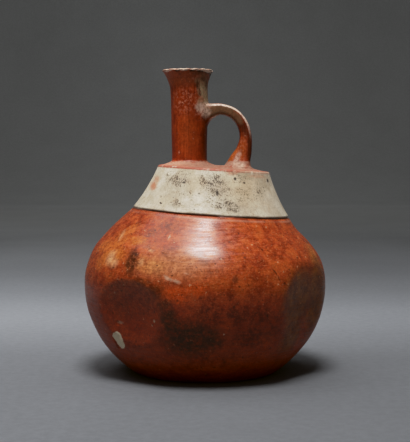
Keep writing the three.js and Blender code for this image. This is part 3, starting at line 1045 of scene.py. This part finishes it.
def makeBodySlip():
    material, tree, shader, place = startMaterial("burnished red slip")
    grain = useGroup(tree, "grain", Place=place)
    streaks = grain["Streaks"]
    broad = cloudy(tree, place, 26)
    patchy = cloudy(tree, place, 7, 5.0, 0.62)
    mottled = cloudy(tree, place, 2.8, 4.0, 0.65)
    loose = ragged(tree, place, 7, 8)
    close = ragged(tree, place, 2.6, 3)
    gritty = cloudy(tree, close, 0.9, 2.0, 0.7)
    up = aboveGroove(tree, place)
    z = axes(tree, place)[2]
    heights, below = redSlip["heights"], redSlip["belowGroove"]

    colour = blend(tree, between(tree, broad, 0.35, 0.65), redSlip["deep"], redSlip["bright"])
    warm = times(tree, between(tree, patchy, 0.42, 0.7), between(tree, z, *heights["warm"], 0.2, 0.75))
    colour = blend(tree, warm, colour, redSlip["warm"])
    # darker towards the bottom: dark blotches of the slip grow stronger and a darker tone comes in below 74
    # mm, partly the slip's own colour and partly painted shade
    dark = between(tree, z, *heights["lower"], 0.4, 0.8)
    dark = times(tree, between(tree, patchy, 0.49, 0.36), dark)
    colour = blend(tree, dark, colour, redSlip["dark"])
    colour = blend(tree, between(tree, z, *heights["lower"], 0.0, 0.6), colour, redSlip["lower"])

    colour = paintMarks(tree, colour, loose, bodyMarks["ochre"], mottled)
    colour = paintMarks(tree, colour, loose, bodyMarks["embers"])
    colour = paintMarks(tree, colour, close, bodyMarks["paleOchreAndSheen"], mottled)
    colour = paintMarks(tree, colour, loose, bodyMarks["smoke"], mottled)
    cloudTone = blend(tree, between(tree, patchy, 0.4, 0.62), redSlip["cloudDark"], redSlip["cloudPale"])
    colour = blend(tree, layMarks(tree, loose, bodyMarks["greyCloud"]), colour, cloudTone)
    colour = paintMarks(tree, colour, loose, bodyMarks["soot"], mottled)

    paleFlecks = between(tree, gritty, 0.56, 0.68, 0.0, 0.6)
    paleFlecks = times(tree, paleFlecks, between(tree, z, *heights["paleFleck"], 0.25, 1.0))
    colour = blend(tree, paleFlecks, colour, redSlip["paleFleck"])
    colour = blend(tree, between(tree, gritty, 0.41, 0.3, 0.0, 0.7), colour, redSlip["darkFleck"])
    # darker towards the foot: mostly painted shade, with some grime
    colour = blend(tree, between(tree, z, *heights["foot"], 0.0, 0.12), colour, redSlip["foot"])
    cracks = useGroup(tree, "crazing", Place=close, Spacing=6.0, Width=0.05)[0]
    colour = blend(tree, times(tree, cracks, 0.35), colour, redSlip["crack"])
    colour = paintMarks(tree, colour, close, bodyMarks["scratches"])
    # pale scuffs, and two painted highlights
    scuffsAndGlints = layMarks(tree, close, bodyMarks["scuffsAndGlints"])
    colour = blend(tree, scuffsAndGlints, colour, bodyMarks["scuffsAndGlints"]["tone"])
    paleSpecks = useGroup(tree, "specks", Place=close, Spacing=3.4, Share=0.26, Size=0.2)[0]
    paleSpecks = times(tree, paleSpecks, between(tree, z, *heights["paleSpeck"], 0.3, 0.8))
    colour = blend(tree, paleSpecks, colour, redSlip["paleSpeck"])
    darkSpecks = useGroup(tree, "specks", Place=close, Spacing=3.1, Share=0.3, Size=0.26)[0]
    colour = blend(tree, times(tree, darkSpecks, 0.65), colour, redSlip["darkSpeck"])
    shade = between(tree, grain["Tone"], 0.3, 0.7, 0.86, 1.12)
    shade = plus(tree, shade, between(tree, streaks, 0.35, 0.65, -0.06, 0.06))
    colour = shaded(tree, colour, times(tree, shade, between(tree, mottled, 0.33, 0.67, 0.82, 1.16)))

    # painted highlight: a pale broken line along the lip of clay just below the groove
    edge = times(tree, between(tree, up, *below["edgeLow"]), between(tree, up, *below["edgeHigh"]))
    edge = times(tree, edge, between(tree, broad, 0.4, 0.6, 0.1, 0.45))
    colour = blend(tree, edge, colour, redSlip["grooveLipHighlight"])
    # the groove's dark line: red slip in the groove, darkened with painted shade
    colour = blend(tree, between(tree, up, *below["groove"], 0.0, 0.7), colour, redSlip["groove"])
    chips = layMarks(tree, close, bodyMarks["chips"])
    colour = blend(tree, chips, colour, blend(tree, mottled, redSlip["chipDark"], redSlip["chipPale"]))
    rough = plus(
        tree,
        between(tree, streaks, 0.3, 0.7, 0.2, 0.38),
        between(tree, mottled, 0.45, 0.75, 0.0, 0.1),
        between(tree, z, *heights["dull"], 0.0, 0.2),
        times(tree, scuffsAndGlints, 0.3),
        times(tree, chips, 0.45),
    )
    finishShader(tree, shader, colour, rough, redSlip["shine"])
    addRelief(tree, shader, sums(tree, "SUBTRACT", streaks, times(tree, darkSpecks, 0.5)), 0.4, 0.08)
    return material


def makeShoulderSlip():
    material, tree, shader, place = startMaterial("worn cream slip")
    grain = useGroup(tree, "grain", Place=place)
    broad = cloudy(tree, place, 15)
    patchy = cloudy(tree, place, 4.5, 5.0, 0.65)
    gritty = cloudy(tree, place, 0.85, 3.0, 0.75)
    close = ragged(tree, place, 3.5, 4)
    up = aboveGroove(tree, ragged(tree, place, 2.5, 0.9))
    x = axes(tree, close)[0]
    above = creamSlip["aboveGroove"]

    colour = blend(tree, between(tree, broad, 0.35, 0.65), creamSlip["deep"], creamSlip["bright"])
    colour = blend(tree, between(tree, patchy, 0.5, 0.7, 0.0, 0.5), colour, creamSlip["buff"])
    colour = blend(tree, between(tree, patchy, 0.45, 0.3, 0.0, 0.5), colour, creamSlip["chalky"])
    for name in ("tan", "stains", "rust"):
        colour = paintMarks(tree, colour, close, shoulderMarks[name])
    cracks = useGroup(tree, "crazing", Place=close, Spacing=4.5, Width=0.06)[0]
    colour = blend(tree, times(tree, cracks, 0.3), colour, creamSlip["crack"])

    char = layMarks(tree, close, shoulderMarks["char"])  # soot that has mostly flaked away to spots
    colour = blend(tree, times(tree, char, 0.08), colour, creamSlip["charTint"])
    spotsFrom = between(tree, patchy, 0.35, 0.65, 0.07, -0.07)
    spotsFrom = plus(tree, between(tree, char, 0.0, 1.0, 0.67, 0.45), spotsFrom)
    charSpots = between(tree, gritty, spotsFrom, plus(tree, spotsFrom, 0.09))
    colour = blend(tree, times(tree, charSpots, 0.78), colour, creamSlip["charSpot"])
    colour = paintMarks(tree, colour, ragged(tree, place, 1.2, 1.0), shoulderMarks["dots"])
    shade = between(tree, grain["Tone"], 0.3, 0.7, 0.86, 1.1)
    colour = shaded(tree, colour, times(tree, shade, between(tree, up, *above["paler"], 1.03, 1.27)))

    edge = times(tree, between(tree, up, *above["topEdge"]), between(tree, x, 12, 34, 0.95, 0.45))
    edge = times(tree, edge, between(tree, patchy, 0.34, 0.5, 0.35, 1.0))
    colour = blend(tree, edge, colour, creamSlip["topEdge"])
    # the groove's dark line: red slip in the groove, darkened with painted shade, fainter towards the far
    # left and right
    line = blend(tree, between(tree, broad, 0.46, 0.56), creamSlip["grooveDark"], creamSlip["groovePale"])
    grooveSlipAndShade = times(tree, between(tree, x, -44, -34, 0.3, 0.9), between(tree, x, 34, 46, 1.0, 0.6))
    grooveSlipAndShade = times(tree, between(tree, up, *above["groove"]), grooveSlipAndShade)
    colour = blend(tree, grooveSlipAndShade, colour, line)
    rough = plus(tree, between(tree, patchy, 0.35, 0.65, 0.44, 0.66), times(tree, charSpots, 0.2))
    finishShader(tree, shader, colour, rough, creamSlip["shine"])
    relief = sums(tree, "SUBTRACT", grain["Relief"], times(tree, charSpots, 0.4))
    addRelief(tree, shader, sums(tree, "SUBTRACT", relief, times(tree, cracks, 0.5)), 0.6, 0.16)
    return material


def makeTopSlip():
    material, tree, shader, place = startMaterial("red slip of the spout and handle")
    grain = useGroup(tree, "grain", Place=place, Stretch=(1, 1, 0.07))  # burnished up and down
    streaks = grain["Streaks"]
    patchy = cloudy(tree, place, 5, 5.0, 0.62)
    mottled = cloudy(tree, place, 1.8, 4.0, 0.65)
    close = ragged(tree, place, 2.4, 2.6)
    x, _, z = axes(tree, close)
    up = aboveGroove(tree, place)
    heights = topSlip["heights"]

    colour = blend(tree, between(tree, patchy, 0.35, 0.65), topSlip["deep"], topSlip["bright"])
    colour = blend(tree, between(tree, streaks, 0.5, 0.72, 0.0, 0.5), colour, topSlip["paleStreak"])
    colour = blend(tree, between(tree, streaks, 0.46, 0.32, 0.0, 0.6), colour, topSlip["darkStreak"])
    for name in ("orange", "umberAndShade", "khaki", "olive", "drips"):
        colour = paintMarks(tree, colour, close, topMarks[name], streaks)
    colour = blend(tree, between(tree, z, *heights["flare"], 0.0, 0.3), colour, topSlip["flare"])
    colour = paintMarks(tree, colour, close, topMarks["pinkScars"], mottled)

    dome = between(tree, z, *heights["dome"])
    redShare = between(tree, patchy, 0.5, 0.68, 0.0, 0.75)
    domeTone = blend(tree, redShare, topSlip["domeWorn"], topSlip["domeRed"])
    colour = blend(tree, times(tree, dome, 0.92), colour, domeTone)
    facing = axes(tree, addNode(tree, "ShaderNodeNewGeometry").outputs["Normal"])
    outwards = sums(tree, "MAXIMUM", facing[2], facing[0])
    worn = times(  # where hands have worn the back of the strap, with a painted highlight where its faces turn up and out
        tree,
        between(tree, outwards, 0.3, 0.5),
        between(tree, outwards, 0.97, 0.85, 0.3, 1.0),
        between(tree, x, 2, 6, 0.0, 0.85),
        between(tree, z, *heights["strapWearAndHighlight"]),
        between(tree, mottled, 0.36, 0.54, 0.5, 1.0),
    )
    colour = blend(tree, worn, colour, topSlip["strapWearAndHighlight"])
    cream = layMarks(tree, close, topMarks["cream"], mottled)
    colour = blend(tree, cream, colour, topMarks["cream"]["tone"])
    fromMiddle = vectors(tree, "MULTIPLY", place, (1, 1, 0))
    fromMiddle = vectors(tree, "DISTANCE", fromMiddle, topSlip["domeMiddle"], output="Value")
    rim = between(tree, up, *topSlip["domeRim"], 0.0, 0.6)
    rim = times(tree, between(tree, fromMiddle, *topSlip["domeReach"]), rim)
    colour = blend(tree, rim, colour, topSlip["domeEdge"])

    colour = paintMarks(tree, colour, ragged(tree, place, 1.4, 1.4), topMarks["lipNicks"])
    lip = between(tree, axes(tree, place)[2], *wornLip)
    lip = times(tree, lip, between(tree, mottled, 0.4, 0.56, 0.35, 0.8))
    lip = sums(tree, "MAXIMUM", lip, layMarks(tree, close, topMarks["lipChips"]))
    colour = blend(tree, times(tree, lip, 0.95), colour, topSlip["lip"])
    specks = useGroup(tree, "specks", Place=close, Spacing=2.8, Share=0.2, Size=0.22)[0]
    colour = blend(tree, times(tree, specks, 0.4), colour, topSlip["speck"])
    # painted light and shade: the spout is painted paler on its left side and darker on its right, as if
    # lit from the left; the strap keeps its colour
    side = sums(tree, "MAXIMUM", between(tree, x, -22, -4, 1.3, 0.93), between(tree, x, 1, 6))
    shade = between(tree, grain["Tone"], 0.3, 0.7, 0.86, 1.12)
    shade = times(tree, shade, between(tree, mottled, 0.33, 0.67, 0.88, 1.1), side)
    colour = shaded(tree, colour, shade)
    rough = between(tree, streaks, 0.3, 0.7, 0.3, 0.46)
    rough = plus(tree, rough, times(tree, dome, 0.3), times(tree, cream, 0.2))
    finishShader(tree, shader, colour, rough, topSlip["shine"])
    addRelief(tree, shader, grain["Relief"], 0.4, 0.1)
    return material


def makeBareClay():
    material, tree, shader, place = startMaterial("bare fired clay")
    grain = useGroup(tree, "grain", Place=place)
    patchy = cloudy(tree, place, 9, 4.0)
    z = axes(tree, place)[2]
    colour = blend(tree, between(tree, patchy, 0.35, 0.65), bareClay["dark"], bareClay["pale"])
    colour = blend(tree, between(tree, z, 203, 209), colour, bareClay["slip"])  # it runs a little way in
    colour = blend(tree, between(tree, z, *wornLip), colour, bareClay["lip"])
    colour = shaded(tree, colour, between(tree, grain["Tone"], 0.3, 0.7, 0.75, 1.2))
    finishShader(tree, shader, colour, between(tree, patchy, 0.3, 0.7, 0.7, 0.9), bareClay["shine"])
    addRelief(tree, shader, grain["Relief"], 0.7, 0.3)
    return material


# Stage, light and camera

stage = {
    "paper": [  # how pale the paper is from front to back, as the studio light falls off on it
        (-500, 0.18), (-40, 0.187), (85, 0.218), (250, 0.318), (490, 0.262), (870, 0.244), (1580, 0.355),
        (2700, 0.69), (3100, 0.71), (3450, 0.62), (3900, 0.6),
    ],
    "outerPaper": (0.7, 0.7, 0.7),  # the rest of the floor, out of the photograph's view
    "outerReach": (620, 1700),
    "floorTint": (0.962, 1, 1.07),
    "wallTint": (0.975, 1, 0.985),
    "tintReach": (300, 2400),
    "paintedLightLeft": (600, 3000, 1.08, 1.03),  # painted light and shade, the paper paler on the left and darker on the right: from near to far, and how much paler or darker at either
    "paintedShadeRight": (600, 3000, 0.86, 0.95),
    # painted light: the wall painted paler in its middle, more so further back
    "wallLightPool": (1500, 3400, 1, 1.14),
    "pool": (280, 620, 1, 0.65),  # the light's pool round the vessel, outwards from the middle
    "poolEnds": (500, 1500),
    "floorSize": 6000,
    "coveSteps": 9,  # the paper's curve from floor to wall
    "coveStep": 160,
    "wallHeight": 3000,
    "camera": (0, -789, 151),
    "target": (0, 0, 107.5),
    "lens": 89.6,
    "softbox": {"place": (-15, -412, 1150), "size": (390, 480), "power": 12.9, "shape": "ELLIPSE"},
    "ceiling": {"place": (-330, 230, 1400), "size": (1500, 1100), "power": 10.8, "shape": "RECTANGLE"},
    "lampsAim": (0, 0, 90),
    "room": (0.098, 0.098, 0.1029),
    "gamma": 0.9,
    "black": (0, 0.0012, 0.004),  # what the film takes off each colour in the dark
    "white": 2,
    "film": [(0.1, 0.2), (0.2, 0.4), (0.3, 0.565), (0.5, 0.75), (0.75, 0.88)],  # holds back bright light
}


def makePaper():
    material, tree, shader, place = startMaterial("grey paper")
    x, y, _ = axes(tree, place)
    tones = addNode(tree, "ShaderNodeValToRGB")
    tones.color_ramp.interpolation = "CARDINAL"
    nearest, farthest = stage["paper"][0][0], stage["paper"][-1][0]
    span = farthest - nearest
    feed(tree, tones.inputs[0], sums(tree, "DIVIDE", sums(tree, "SUBTRACT", y, nearest), span))
    stops = tones.color_ramp.elements  # it starts with a stop at each end
    for i, (away, tone) in enumerate(stage["paper"]):
        at = (away - nearest) / span
        stop = stops.new(at) if 0 < at < 1 else stops[-1 if i else 0]
        stop.color = (tone, tone, tone, 1)
    aside = sums(tree, "ABSOLUTE", x)
    outer = between(tree, sums(tree, "MAXIMUM", aside, times(tree, y, -1.0)), *stage["outerReach"])
    colour = blend(tree, outer, tones.outputs[0], stage["outerPaper"])
    tint = blend(tree, between(tree, y, *stage["tintReach"]), stage["floorTint"], stage["wallTint"])
    colour = shaded(tree, colour, tint)
    # painted light and shade: the paper paler on the left and darker on the right, less so further back
    paintedLightLeft = between(tree, y, *stage["paintedLightLeft"])
    paintedShadeRight = between(tree, y, *stage["paintedShadeRight"])
    fibres = cloudy(tree, place, 6, 5.0, 0.8)
    clouded = cloudy(tree, place, 140, 5.0, 0.6)
    # painted light: a paler middle on the far paper and wall
    wallPool = between(tree, y, *stage["wallLightPool"])
    pool = between(tree, aside, *stage["pool"])
    clear = sums(tree, "MAXIMUM", between(tree, y, *stage["poolEnds"]), outer)
    shade = times(
        tree,
        between(tree, x, -260, 260, paintedLightLeft, paintedShadeRight),
        between(tree, fibres, 0.3, 0.7, 0.93, 1.07),
        between(tree, clouded, 0.35, 0.65, 0.98, 1.02),
        between(tree, aside, 100, 850, wallPool, 1.0),
        sums(tree, "MAXIMUM", pool, clear),
    )
    finishShader(tree, shader, shaded(tree, colour, shade), 0.9, 0.2)
    return material


def makeFloor():
    deselectAll()
    bpy.ops.mesh.primitive_plane_add(size=stage["floorSize"] * mm)
    floor = bpy.context.object
    floor.name = "paleFloor"
    atBack = [vertex.co.y > 0 for vertex in floor.data.vertices]
    selectParts(floor, "EDGE", lambda edge: all(atBack[i] for i in edge.vertices))
    for i in range(stage["coveSteps"]):
        turn = radians(90 * (i + 0.5) / stage["coveSteps"])
        extrude(0, stage["coveStep"] * mm * cos(turn), stage["coveStep"] * mm * sin(turn))
    extrude(0, 0, stage["wallHeight"] * mm)
    objectMode()
    bpy.ops.object.shade_smooth()
    floor.data.materials.append(makePaper())


def aimAt(thing, target):
    aim = Vector(target) * mm - thing.location
    thing.rotation_euler = aim.to_track_quat("-Z", "Y").to_euler()


def makeLights():
    for name in ("softbox", "ceiling"):
        lamp = stage[name]
        bpy.ops.object.light_add(type="AREA", location=Vector(lamp["place"]) * mm)
        light = bpy.context.object
        light.name = name
        light.data.shape = lamp["shape"]
        light.data.size, light.data.size_y = Vector(lamp["size"]) * mm
        light.data.energy = lamp["power"]
        aimAt(light, stage["lampsAim"])
    world = bpy.data.worlds.new("room")
    bpy.context.scene.world = world
    world.use_nodes = True
    world.node_tree.nodes["Background"].inputs["Color"].default_value = (*stage["room"], 1)


def makeCamera():
    bpy.ops.object.camera_add(location=Vector(stage["camera"]) * mm)
    camera = bpy.context.object
    aimAt(camera, stage["target"])
    camera.data.lens = stage["lens"]
    bpy.context.scene.camera = camera


def makeFilm():
    view = bpy.context.scene.view_settings
    view.view_transform = "Standard"
    view.gamma = stage["gamma"]
    view.use_curve_mapping = True
    view.curve_mapping.black_level = stage["black"]
    view.curve_mapping.white_level = [stage["white"]] * 3
    for x, y in stage["film"]:
        view.curve_mapping.curves[3].points.new(x, y)
    view.curve_mapping.update()


materials = {
    "body": makeBodySlip(),
    "shoulder": makeShoulderSlip(),
    "top": makeTopSlip(),
    "inside": makeBareClay(),
}
print("materials made")
bottle = makeBottle()
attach(bottle, "root")
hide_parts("bottle")
makeFloor()
makeLights()
makeCamera()
makeFilm()
print("stage set")
